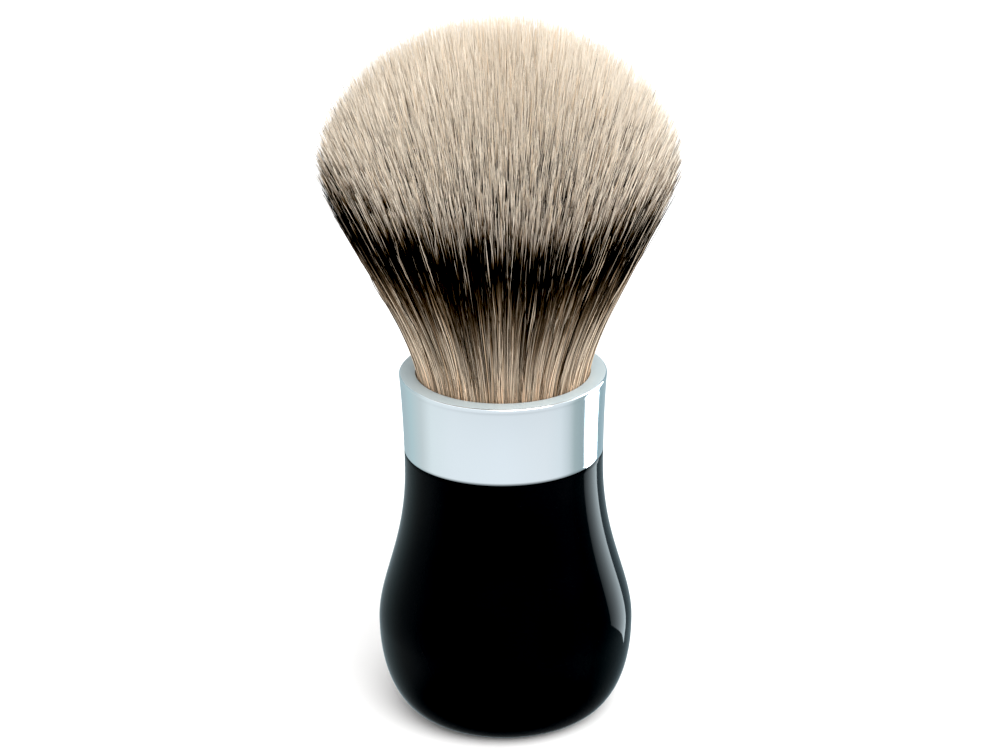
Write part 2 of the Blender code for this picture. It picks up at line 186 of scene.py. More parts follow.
handle_top = seat_height - seam
rise = waist_height - belly_height
handle_side = foot_outline(44)
handle_side += bezier((belly_radius, belly_height), (belly_radius, belly_height + 0.25 * rise),
                      (waist_radius, waist_height - 0.50 * rise), (waist_radius, waist_height), 60)
for k in range(1, 6):
    level = waist_height + (handle_top - ease - waist_height) * k / 5
    handle_side.append((collar_radius(level), level))
handle_side.append((collar_radius(handle_top) - fine_ease, handle_top - fine_ease))
handle_side.append((collar_radius(handle_top) - ease, handle_top))
handle_side.reverse()
seal_low, seal_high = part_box("collar_seal")
groove_inner = (spigot_radius + waist_radius) / 2 - 0.0008
groove_outer = seal_high.x + touch
handle_bore = round_corners([
    (cap_high.x + touch, 0.0, 0.0002),
    (cap_high.x + touch, cap_high.z + touch, 0.0),
    (pocket_radius, cap_high.z + touch, 0.0002),
    (pocket_radius, pocket_top, 0.0004),
    (screw_hole, pocket_top, 0.0002),
    (screw_hole, spigot_bottom - touch, 0.0002),
    (spigot_radius + touch, spigot_bottom - touch, 0.0003),
    (spigot_radius + touch, handle_top, 0.0003),
    (groove_inner, handle_top, ease),
    (groove_inner, seal_low.z, ease),
    (groove_outer, seal_low.z, ease),
    (groove_outer, handle_top, ease),
], steps=3)
handle = turn_on_lathe("resin_handle", handle_side + handle_bore)


def add_node(tree, kind, **settings):
    """A node with its settings; in_0, in_1 and so on give that input a value or a link."""
    node = tree.nodes.new(kind)
    for setting, value in settings.items():
        if not setting.startswith("in_"):
            setattr(node, setting, value)
        elif isinstance(value, bpy.types.NodeSocket):
            tree.links.new(value, node.inputs[int(setting[3:])])
        else:
            node.inputs[int(setting[3:])].default_value = value
    return node


def mix_colours(tree, factor, first, second, **settings):
    """A colour mix; first and second are each a plain colour or the socket that feeds it."""
    node = add_node(tree, "ShaderNodeMix", data_type='RGBA', **settings)
    tree.links.new(factor, node.inputs["Factor"])
    for label, value in (("A", first), ("B", second)):
        if isinstance(value, bpy.types.NodeSocket):
            tree.links.new(value, node.inputs[label])
        else:
            node.inputs[label].default_value = (*value, 1.0)
    return node.outputs["Result"]


def start_group(name, inputs, outputs):
    """An empty shader group: inputs are (name, kind, value), outputs are (name, kind)."""
    tree = bpy.data.node_groups.new(name, "ShaderNodeTree")
    for label, kind, value in inputs:
        socket = tree.interface.new_socket(label, in_out='INPUT', socket_type=kind)
        socket.default_value = value
    for label, kind in outputs:
        tree.interface.new_socket(label, in_out='OUTPUT', socket_type=kind)
    return tree, tree.nodes.new("NodeGroupInput"), tree.nodes.new("NodeGroupOutput")


def make_buffing_marks():
    """Group: faint rings left by turning and buffing, and the haze of handling."""
    tree, start, end = start_group(
        "buffing_marks",
        [("Ring Spacing", 'NodeSocketFloat', 0.0002), ("Haze Size", 'NodeSocketFloat', 0.01)],
        [("Rings", 'NodeSocketFloat'), ("Haze", 'NodeSocketFloat')])
    spacing = start.outputs["Ring Spacing"]
    place = add_node(tree, "ShaderNodeTexCoord").outputs["Object"]
    split = add_node(tree, "ShaderNodeSeparateXYZ", in_0=place)
    flat = add_node(tree, "ShaderNodeVectorMath", operation='MULTIPLY', in_0=place, in_1=(1, 1, 0))
    radius = add_node(tree, "ShaderNodeVectorMath", operation='LENGTH', in_0=flat.outputs[0])
    turn = add_node(tree, "ShaderNodeMath", operation='ARCTAN2',
                    in_0=split.outputs[0], in_1=split.outputs[1])
    slow = add_node(tree, "ShaderNodeMath", operation='MULTIPLY', in_0=turn.outputs[0], in_1=0.3)
    down = add_node(tree, "ShaderNodeMath", operation='DIVIDE', in_0=split.outputs[2], in_1=spacing)
    across = add_node(tree, "ShaderNodeMath", operation='DIVIDE',
                      in_0=radius.outputs["Value"], in_1=spacing)
    gather = add_node(tree, "ShaderNodeCombineXYZ",
                      in_0=slow.outputs[0], in_1=down.outputs[0], in_2=across.outputs[0])
    rings = add_node(tree, "ShaderNodeTexNoise", in_0=gather.outputs[0], in_2=1.0, in_3=2.0)
    haze_scale = add_node(tree, "ShaderNodeMath", operation='DIVIDE',
                          in_0=1.0, in_1=start.outputs["Haze Size"])
    haze = add_node(tree, "ShaderNodeTexNoise", in_0=place, in_2=haze_scale.outputs[0], in_3=4.0)
    tree.links.new(rings.outputs[0], end.inputs["Rings"])
    tree.links.new(haze.outputs[0], end.inputs["Haze"])
    return tree


buffing_marks = make_buffing_marks()


def start_material(name, colour, roughness, metallic=0.0, ior=1.5):
    """A material with its Principled shader and its plain constants set."""
    material = bpy.data.materials.new(name)
    material.use_nodes = True
    shader = material.node_tree.nodes["Principled BSDF"]
    shader.inputs["Base Color"].default_value = (*colour, 1.0)
    shader.inputs["Roughness"].default_value = roughness
    shader.inputs["Metallic"].default_value = metallic
    shader.inputs["IOR"].default_value = ior
    return material, material.node_tree, shader


def add_buffing(tree, shader, spacing, haze_size, ring_depth, rough, tints):
    """Turning rings as a fine bump, and a roughness and a tint that wander with the haze."""
    marks = add_node(tree, "ShaderNodeGroup", node_tree=buffing_marks, in_0=spacing, in_1=haze_size)
    haze = marks.outputs["Haze"]
    spread = add_node(tree, "ShaderNodeMapRange",
                      in_0=haze, in_1=0.3, in_2=0.7, in_3=rough[0], in_4=rough[1])
    bump = add_node(tree, "ShaderNodeBump", in_0=1.0, in_1=ring_depth)
    tint = mix_colours(tree, haze, *tints)
    tree.links.new(spread.outputs[0], shader.inputs["Roughness"])
    tree.links.new(marks.outputs["Rings"], bump.inputs["Height"])
    tree.links.new(bump.outputs[0], shader.inputs["Normal"])
    tree.links.new(tint, shader.inputs["Base Color"])
    return tint


resin, tree, shader = start_material("black_resin", (0.002, 0.002, 0.002), 0.05, ior=1.125)
add_buffing(tree, shader, 0.0012, 0.012, 0.0000006, (0.045, 0.075),
            ((0.0012, 0.0013, 0.0015), (0.0030, 0.0030, 0.0032)))
handle.data.materials.append(resin)
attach(handle, "handle")
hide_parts("handle_body")

# ---------------------------------------------------------------- collar seal
# A nitrile rubber ring that lies in the groove on top of the handle and keeps water
# out of the joint.  It is moulded, so it is matt and plain.
rubber, tree, shader = start_material("seal_rubber", (0.012, 0.012, 0.012), 0.7)
add_buffing(tree, shader, 0.0006, 0.0015, 0.000002, (0.6, 0.8),
            ((0.008, 0.008, 0.008), (0.02, 0.02, 0.019)))


def refinish(node, material):
    """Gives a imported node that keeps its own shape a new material."""
    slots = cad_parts[node].material_slots
    if not slots:
        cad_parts[node].data.materials.append(material)
        return
    for slot in slots:
        slot.link = 'OBJECT'
        slot.material = material


refinish("collar_seal", rubber)

# ---------------------------------------------------------------- collar
# Turned brass with bright nickel-chrome plate: a wall that flares to a flat rim, a
# socket for the knot and a threaded spigot that goes down into the handle.
rim_radius = collar_high.x
edge_round = 0.00030                    # the rim's outer edge
mouth_round = 0.00022                   # the rim's inner edge
socket_radius = 0.0123
socket_floor = seat_height + 0.0015
socket_round = 0.0003
thread_pitch = 0.0016
thread_depth = 0.0005
thread_turns = 4
tapped_depth = 0.0068                   # the screw's hole in the spigot
collar_outline = []
for k in range(13):
    angle = math.pi / 2 * (1 - k / 12)
    collar_outline.append((rim_radius - edge_round + edge_round * math.cos(angle),
                           rim_height - edge_round + edge_round * math.sin(angle)))
for k in range(1, 31):
    level = rim_height - edge_round + (seat_height + ease - rim_height + edge_round) * k / 30
    collar_outline.append((collar_radius(level), level))
collar_outline.append((collar_radius(seat_height) - fine_ease, seat_height + fine_ease))
collar_outline.append((collar_radius(seat_height) - ease, seat_height))
collar_outline.append((spigot_radius - ease, seat_height))
for turn in range(thread_turns):
    crest = seat_height - thread_pitch * (turn + 1)
    for radius, level in ((spigot_radius, crest),
                          (spigot_radius - thread_depth, crest - thread_pitch / 2)):
        collar_outline.append((radius, level + ease))
        collar_outline.append((radius, level - ease))
collar_outline += [(spigot_radius, spigot_bottom + 2 * ease), (spigot_radius - 2 * ease, spigot_bottom),
                   (screw_hole, spigot_bottom), (screw_hole, spigot_bottom + tapped_depth),
                   (0.0, spigot_bottom + tapped_depth)]
collar_mouth = [(0.0, socket_floor), (socket_radius - socket_round, socket_floor),
                (socket_radius, socket_floor + socket_round),
                (socket_radius, rim_height - mouth_round - fine_ease)]
for k in range(1, 6):
    angle = math.pi / 2 * k / 5
    collar_mouth.append((socket_radius + mouth_round * (1 - math.cos(angle)),
                         rim_height - mouth_round * (1 - math.sin(angle))))
collar = turn_on_lathe("plated_collar", collar_mouth + collar_outline)

chrome, tree, shader = start_material("bright_plate", (0.70, 0.745, 0.765), 0.07, metallic=1.0)
add_buffing(tree, shader, 0.00025, 0.009, 0.0000005, (0.055, 0.095),
            ((0.69, 0.735, 0.755), (0.72, 0.76, 0.775)))

# The rim's flat top is satin and mirrors less than the wall.
facing = add_node(tree, "ShaderNodeNewGeometry")
upward = add_node(tree, "ShaderNodeSeparateXYZ", in_0=facing.outputs["Normal"]).outputs[2]
rim_face = add_node(tree, "ShaderNodeMapRange", interpolation_type='SMOOTHSTEP',
                    in_0=upward, in_1=0.90, in_2=0.985)
for kind, label, satin in (('FLOAT', "Roughness", 0.50),
                           ('RGBA', "Base Color", (0.52, 0.605, 0.635, 1.0))):
    polished = shader.inputs[label].links[0].from_socket
    mix = add_node(tree, "ShaderNodeMix", data_type=kind)
    mix.inputs["B"].default_value = satin
    tree.links.new(rim_face.outputs[0], mix.inputs["Factor"])
    tree.links.new(polished, mix.inputs["A"])
    tree.links.new(mix.outputs["Result"], shader.inputs[label])
metal_share = add_node(tree, "ShaderNodeMapRange", in_0=rim_face.outputs[0], in_3=1.0, in_4=0.15)
tree.links.new(metal_share.outputs[0], shader.inputs["Metallic"])
collar.data.materials.append(chrome)
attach(collar, "handle")
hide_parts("collar")

# ---------------------------------------------------------------- weight, washer and screw
# A steel slug fills the pocket so that the brush stands steadily.  A socket-head screw
# with a split washer runs up through it and pulls the collar down on the handle.
for node, name, low, high, rough in (
        ("counterweight", "turned_steel", (0.36, 0.37, 0.38), (0.46, 0.46, 0.47), (0.28, 0.42)),
        ("tie_screw", "zinc_plate", (0.50, 0.50, 0.47), (0.62, 0.61, 0.57), (0.22, 0.36)),
        ("lock_washer", "spring_steel", (0.30, 0.29, 0.28), (0.42, 0.41, 0.39), (0.32, 0.45))):
    metal, tree, shader = start_material(name, high, rough[0], metallic=1.0)
    add_buffing(tree, shader, 0.00015, 0.004, 0.000003, rough, (low, high))
    refinish(node, metal)

# ---------------------------------------------------------------- base cap
# A moulded plug, pressed up into the handle's foot.  Two blind holes take the pins of
# the key that turns it, and its edge is eased all round.
key_hole_radius = 0.0009
key_hole_depth = 0.0014
key_hole_reach = 0.0050


def make_base_cap():
    """The cap's turned body with the two key holes cut in its underside."""
    outline = [(0.0, cap_high.z)]
    outline += round_corners([(cap_high.x, cap_high.z, 0.0002), (cap_high.x, 0.0, 0.0004),
                              (0.0, 0.0, 0.0), (0.0, cap_high.z, 0.0)], steps=6)[:-2]
    outline.append((0.0, 0.0))
    cap = turn_on_lathe("pressed_base_cap", outline, steps=128)
    for x in (-key_hole_reach, key_hole_reach):
        drill_outline = [(0.0, key_hole_depth), (key_hole_radius, key_hole_depth),
                         (key_hole_radius, -key_hole_depth), (0.0, -key_hole_depth)]
        drill = turn_on_lathe("pin_drill", drill_outline, steps=32)
        drill.data.transform(Matrix.Translation((x, 0.0, 0.0)))
        step = cap.modifiers.new("drill", 'BOOLEAN')
        step.object = drill
        graph = bpy.context.evaluated_depsgraph_get()
        bored = bpy.data.meshes.new_from_object(cap.evaluated_get(graph))
        cap.modifiers.clear()
        cap.data = bored
        bpy.data.objects.remove(drill)
    cap.data.shade_smooth()
    cap.data.set_sharp_from_angle(angle=crease_angle)
    return cap


base_cap = make_base_cap()
cap_plastic, tree, shader = start_material("moulded_plug", (0.012, 0.012, 0.013), 0.42, ior=1.45)
add_buffing(tree, shader, 0.0005, 0.0022, 0.000004, (0.36, 0.52),
            ((0.009, 0.009, 0.010), (0.018, 0.018, 0.019)))
base_cap.data.materials.clear()
base_cap.data.materials.append(cap_plastic)
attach(base_cap, "handle")
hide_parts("base_cap")

# ---------------------------------------------------------------- knot cup, plug and binding
# The roots are bound with waxed twine, stood in a spun aluminium cup and potted in
# clear epoxy, which yellows a little; the whole knot is then glued into the collar.
for node, name, low, high, rough, metallic in (
        ("knot_cup", "spun_aluminium", (0.52, 0.53, 0.54), (0.64, 0.65, 0.66), (0.25, 0.38), 1.0),
        ("knot_plug", "cured_epoxy", (0.26, 0.15, 0.04), (0.42, 0.28, 0.09), (0.15, 0.3), 0.0),
        ("knot_binding", "waxed_twine", (0.42, 0.33, 0.20), (0.58, 0.49, 0.34), (0.6, 0.8), 0.0)):
    inner, tree, shader = start_material(name, high, rough[0], metallic=metallic)
    add_buffing(tree, shader, 0.0003, 0.003, 0.00001, rough, (low, high))
    refinish(node, inner)

# ---------------------------------------------------------------- hair: how it is laid
# Badger hair is bound by hand with the tips down in a cupped mould, so the strands fan
# out from the collar and their tips make the dome.  Each strand tapers to a fine tip.
knot_radius = 0.0122
bloom_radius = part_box("hair_head")[1].x
tip_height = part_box("hair_head")[1].z - rim_height
bloom_height = 0.0303
mouth_pull = 0.352                      # how the side curves out of the mouth
mouth_flare = 0.189
bloom_pull = 0.181                      # how it turns upright at the bloom
dome_roundness = 1.85
fan_height = 0.0225                     # above this the strands run on straight
seam_height = 0.0100                    # lower and upper strands meet here
lean = -0.0004                          # how far the tips lean to one side
hair_count = 22000
clump_count = 1900
tuft_count = 200
strand_radius = 0.000072
edge_share = 0.83                       # strands beyond this part of the knot show below
short_share = 0.30
stray_share = 0.035                     # strands that wander from their clump
kinked_share = 0.05
crossing_share = 0.16                   # strands that lie across their neighbours
pale_share = 0.075                      # strands with no dark band
hanging_share = 0.13                    # strands whose dark band ends low
unripe_share = 0.085                    # strands whose dark band ends high
dark_clump_share = 0.08                 # clumps that are dark almost down to the roots
dark_root_share = 0.15                  # single strands that are dark almost to the roots
tone_columns = 64
pale_columns = 5                        # the last columns are pale from root to tip
draw = np.random.default_rng(41)

side_curve = np.array(bezier(
    (knot_radius, 0.0),
    (knot_radius + mouth_flare * mouth_pull * bloom_height, mouth_pull * bloom_height),
    (bloom_radius, bloom_height * (1 - bloom_pull)),
    (bloom_radius, bloom_height), 200))


def fan_radius(height):
    """Radius of the outermost strand if it ran on: curved at the mouth, then straight."""
    low = np.interp(height, side_curve[:, 1], side_curve[:, 0])
    near = np.interp(fan_height, side_curve[:, 1], side_curve[:, 0])
    before = np.interp(fan_height - 0.001, side_curve[:, 1], side_curve[:, 0])
    slope = (near - before) / 0.001
    return np.where(height > fan_height, near + slope * (height - fan_height), low)


def outline_radius(height):
    """Radius of the finished shape, with the dome over the bloom."""
    side = np.interp(height, side_curve[:, 1], side_curve[:, 0])
    share = np.clip((height - bloom_height) / (tip_height - bloom_height), 0.0, 1.0)
    dome = bloom_radius * (1 - share ** dome_roundness) ** (1 / dome_roundness)
    return np.where(height > bloom_height, dome, side)


def tip_heights(share):
    """Where strands that start at this part of the knot's radius meet the dome."""
    low = np.full(share.shape, 0.015)
    high = np.full(share.shape, tip_height)
    for _ in range(40):
        middle = (low + high) / 2
        outside = share * fan_radius(middle) > outline_radius(middle)
        high = np.where(outside, middle, high)
        low = np.where(outside, low, middle)
    return low


def scatter_on_disc(count, unrest):
    """Places spread evenly over a disc of radius 1, each moved a little at random."""
    order = np.arange(count) + 0.5
    angle = order * math.pi * (3 - math.sqrt(5))
    reach = np.sqrt(order / count)
    places = np.stack([reach * np.cos(angle), reach * np.sin(angle)], axis=1)
    places += draw.normal(0.0, unrest / math.sqrt(count), places.shape)
    length = np.linalg.norm(places, axis=1, keepdims=True)
    return places / np.maximum(length, 1.0)


def nearest(places, centres):
    """For each place, the number of the centre it is closest to."""
    found = np.empty(len(places), int)
    for first in range(0, len(places), 500):
        block = places[first:first + 500, None, :] - centres[None, :, :]
        found[first:first + 500] = np.argmin((block ** 2).sum(2), axis=1)
    return found


roots = scatter_on_disc(hair_count, 0.55)
clump_centres = scatter_on_disc(clump_count, 0.6)
tuft_centres = scatter_on_disc(tuft_count, 0.6)
clump_of = nearest(roots, clump_centres)
tuft_of = nearest(roots, tuft_centres)
root_share = np.linalg.norm(roots, axis=1)
outer = root_share > edge_share


def keep_in(offsets):
    """Takes the outward part from offsets near the knot's rim, so its outline stays smooth."""
    outward = roots / np.maximum(root_share, 1e-6)[:, None]
    reach = (offsets * outward).sum(axis=1)
    excess = np.maximum(reach, 0.0) * root_share ** 4
    return offsets - excess[:, None] * outward


clump_pull = draw.uniform(0.10, 0.42, clump_count)[clump_of]
tuft_pull = draw.uniform(0.03, 0.13, tuft_count)[tuft_of]
tips_at = tip_heights(root_share)
tips_at += 0.0009 - draw.exponential(0.00022, hair_count)
tips_at += draw.normal(0.0, 0.00012, clump_count)[clump_of]
short = draw.random(hair_count) < short_share
tips_at -= short * draw.uniform(0.0002, 0.0038, hair_count)
drift = draw.normal(0.0, 0.00035, (hair_count, 2))
stray = draw.random(hair_count) < stray_share
drift += stray[:, None] * keep_in(draw.normal(0.0, 0.0014, (hair_count, 2)))
kinked = draw.random(hair_count) < kinked_share
kink_at = draw.uniform(0.006, 0.024, hair_count)
kink_lean = kinked[:, None] * keep_in(draw.normal(0.0, 0.060, (hair_count, 2)))
tips_at -= kinked * draw.uniform(0.001, 0.005, hair_count)
tip_lean = keep_in(draw.normal(0.0, 0.042, (hair_count, 2)))
crossing = draw.random(hair_count) < crossing_share
cross_reach = keep_in(draw.normal(0.0, 0.00022, (hair_count, 2))) * (1 + 1.8 * crossing[:, None])
wave_size = draw.exponential(0.00007, hair_count) + stray * 0.00018
wave_length = draw.uniform(0.010, 0.026, hair_count)
wave_start = draw.uniform(0.0, 2 * math.pi, (hair_count, 2))
thickness = strand_radius * draw.uniform(0.60, 1.25, hair_count)
tone = draw.integers(0, tone_columns - pale_columns, hair_count)
pale = draw.random(hair_count) < pale_share
tone = np.where(pale, draw.integers(tone_columns - pale_columns, tone_columns, hair_count), tone)


cross_length = 0.022                    # crossing strands are back in place above this
bent_length = 0.012                     # the part under the tip that leans its own way


def strand_places(height):
    """Where the strands run: an array of heights in, an array of points out."""
    climb = np.clip(height / tip_height, 0.0, 1.5)
    gather = np.clip((height - 0.004) / 0.030, 0.0, 1.0)[..., None]
    unit = roots[:, None, :] * np.ones((1, height.shape[1], 1))
    pull = clump_pull[:, None, None] * gather ** 1.3
    unit = unit + (clump_centres[clump_of][:, None, :] - unit) * pull
    pull = tuft_pull[:, None, None] * gather
    unit = unit + (tuft_centres[tuft_of][:, None, :] - unit) * pull
    flat = unit * fan_radius(np.maximum(height, 0.0))[..., None]
    flat += drift[:, None, :] * (climb ** 1.4)[..., None]
    bow = np.sin(math.pi * np.clip(height / cross_length, 0.0, 1.0))
    flat += cross_reach[:, None, :] * bow[..., None]
    above_bend = height - tips_at[:, None] + bent_length
    flat += tip_lean[:, None, :] * np.maximum(above_bend, 0.0)[..., None]
    flat += kink_lean[:, None, :] * np.maximum(height - kink_at[:, None], 0.0)[..., None]
    swing = 2 * math.pi * height[..., None] / wave_length[:, None, None] + wave_start[:, None, :]
    flat += wave_size[:, None, None] * np.sin(swing) * np.clip(climb * 4, 0, 1)[..., None]
    points = np.empty(height.shape + (3,))
    points[..., :2] = flat
    points[..., 0] += lean * climb ** 1.5
    points[..., 2] = height + rim_height
    return points


# Each strand is dark in a band between a pale root and a pale tip.  The marks are the
# band's places: 0 root, then the dark band's soft lower and sharp upper edge, 1 tip.
band_marks = np.array([0.0, 0.30, 0.45, 0.62, 0.68, 1.0])
inner_rise = (1 - root_share) * 0.007
side_rise = 0.0020 * roots[:, 0] ** 2 + 0.0014 * np.maximum(-roots[:, 0], 0.0)
dark_top = 0.0274 + inner_rise + side_rise + draw.normal(0.0, 0.0011, clump_count)[clump_of]
dark_top += draw.normal(0.0, 0.0018, hair_count)
hanging = draw.random(hair_count) < hanging_share
dark_top -= hanging * draw.uniform(0.002, 0.008, hair_count)
unripe = draw.random(hair_count) < unripe_share
dark_top += unripe * draw.uniform(0.003, 0.012, hair_count)
dark_rooted = draw.random(clump_count)[clump_of] < dark_clump_share
dark_rooted |= draw.random(hair_count) < dark_root_share
dark_low = 0.0165 - dark_rooted * draw.uniform(0.004, 0.014, hair_count)
dark_low += draw.normal(0.0, 0.0020, clump_count)[clump_of]
dark_low += draw.normal(0.0, 0.0022, hair_count)
pale_low = np.maximum(dark_low - draw.uniform(0.004, 0.011, hair_count), -0.0025)
dark_low = np.maximum(dark_low, -0.0020)
dark_top = np.maximum(dark_top, dark_low + 0.001)
band_edge = 0.0009
strand_marks = np.stack([np.full(hair_count, -0.003), pale_low, dark_low, dark_top - band_edge,
                         dark_top + band_edge, np.maximum(tips_at, dark_top + 3 * band_edge)], axis=1)


def band_at(height):
    """The band coordinate of each strand at each height."""
    value = np.zeros(height.shape)
    for k in range(len(band_marks) - 1):
        low = strand_marks[:, k, None]
        high = strand_marks[:, k + 1, None]
        share = np.clip((height - low) / np.maximum(high - low, 1e-6), 0.0, 1.0)
        here = band_marks[k] + share * (band_marks[k + 1] - band_marks[k])
        value = np.where(height >= low, here, value)
    return value


def strand_thickness(height):
    """A strand is fullest in its dark band and runs out to a fine tip."""
    to_tip = np.maximum(tips_at[:, None] - height, 0.0)
    taper = 0.22 + 0.78 * np.clip(to_tip / 0.009, 0.0, 1.0) ** 0.6
    body = 0.80 + 0.20 * np.clip(height / 0.012, 0.0, 1.0)
    return thickness[:, None] * taper * body


def rings_between(low, high, count):
    """Heights from low to high, both ends included."""
    return low[:, None] + (high - low)[:, None] * np.linspace(0.0, 1.0, count)[None, :]


def spin_strands(chosen, height, band_low, band_high):
    """Three-sided tubes for the chosen strands: corner places, then faces and map places,
    first of the sides and then of the end caps."""
    points = strand_places(height)[chosen]
    size = strand_thickness(height)[chosen]
    band = (band_at(height)[chosen] - band_low) / (band_high - band_low)
    count, rings = size.shape
    along = np.gradient(points, axis=1)
    along /= np.linalg.norm(along, axis=2, keepdims=True)
    away = points.copy()
    away[..., 2] = 0.0
    away += 1e-7
    away /= np.linalg.norm(away, axis=2, keepdims=True)
    side = np.cross(along, away)
    side /= np.linalg.norm(side, axis=2, keepdims=True)
    front = np.cross(side, along)
    corners = np.empty((count, rings, 3, 3))
    for k in range(3):
        angle = 2 * math.pi * k / 3
        spoke = front * math.cos(angle) + side * math.sin(angle)
        corners[:, :, k] = points + spoke * size[..., None]
    numbers = np.arange(count * rings * 3).reshape(count, rings, 3)
    column = (tone[chosen][:, None, None] + 0.14) / tone_columns
    map_x = column + 0.72 / tone_columns * np.arange(4)[None, None, :] / 3
    map_x = np.broadcast_to(map_x, (count, rings, 4))
    map_y = np.broadcast_to(np.clip(band, 0.004, 0.996)[..., None], (count, rings, 4))
    faces = []
    places = []
    for k in range(3):
        turn = (k + 1) % 3
        quad = [numbers[:, :-1, k], numbers[:, :-1, turn], numbers[:, 1:, turn], numbers[:, 1:, k]]
        faces.append(np.stack(quad, axis=-1).reshape(-1, 4))
        quad_x = [map_x[:, :-1, k], map_x[:, :-1, k + 1], map_x[:, 1:, k + 1], map_x[:, 1:, k]]
        quad_y = [map_y[:, :-1, k], map_y[:, :-1, k + 1], map_y[:, 1:, k + 1], map_y[:, 1:, k]]
        both = np.stack([np.stack(quad_x, axis=-1), np.stack(quad_y, axis=-1)], axis=-1)
        places.append(both.reshape(-1, 4, 2))
    end_faces = [numbers[:, 0, ::-1], numbers[:, -1, :]]
    end_places = []
    for ring in (0, rings - 1):
        low_x = map_x[:, ring, 0]
        high_x = map_x[:, ring, 3]
        level = map_y[:, ring, 0]
        above = np.where(level > 0.5, level - 0.01, level + 0.01)
        triangle = np.stack([np.stack([low_x, level], -1), np.stack([high_x, level], -1),
                             np.stack([low_x, above], -1)], axis=1)
        end_places.append(triangle)
    return (corners.reshape(-1, 3), np.concatenate(faces), np.concatenate(places),
            np.concatenate(end_faces), np.concatenate(end_places))


def make_strands(name, bundles):
    """One piece from bundles of strands.  The strands' end caps have crisp edges."""
    offsets = np.cumsum([0] + [len(corners) for corners, *_ in bundles])
    verts = np.concatenate([bundle[0] for bundle in bundles])
    quads = np.concatenate([bundle[1] + offset for bundle, offset in zip(bundles, offsets)])
    ends = np.concatenate([bundle[3] + offset for bundle, offset in zip(bundles, offsets)])
    loops = np.concatenate([quads.ravel(), ends.ravel()])
    starts = np.concatenate([np.arange(len(quads)) * 4, quads.size + np.arange(len(ends)) * 3])
    places = np.concatenate([bundle[2].reshape(-1, 2) for bundle in bundles]
                            + [bundle[4].reshape(-1, 2) for bundle in bundles])
    mesh = bpy.data.meshes.new(name)
    mesh.vertices.add(len(verts))
    mesh.vertices.foreach_set("co", verts.astype(np.float32).ravel())
    mesh.loops.add(len(loops))
    mesh.loops.foreach_set("vertex_index", loops.astype(np.int32))
    mesh.polygons.add(len(starts))
    mesh.polygons.foreach_set("loop_start", starts.astype(np.int32))
    mesh.update(calc_edges=True)
    layer = mesh.uv_layers.new(name="OFBake")
    layer.uv.foreach_set("vector", places.astype(np.float32).ravel())
    mesh.shade_smooth()
    edge_of = np.empty(len(loops), np.int32)
    mesh.loops.foreach_get("edge_index", edge_of)
    crisp = np.zeros(len(mesh.edges), bool)
    crisp[edge_of[quads.size:]] = True
    mesh.attributes.new("sharp_edge", 'BOOLEAN', 'EDGE').data.foreach_set("value", crisp)
    return add_object(name, mesh)


# ---------------------------------------------------------------- hair: its colours
# Silvertip badger: cream tips, a black band, and brown to beige roots.  No two hairs
# are alike, so each column of the strands' map is a different hair.
def add_ramp(tree, source, stops):
    """The colour that a ramp gives its source; stops are (place, colour)."""
    node = add_node(tree, "ShaderNodeValToRGB", in_0=source)
    elements = node.color_ramp.elements
    while len(elements) < len(stops):
        elements.new(0.5)
    for element, (place, colour) in zip(elements, stops):
        element.position = place
        element.color = (*colour, 1.0)
    return node.outputs[0]


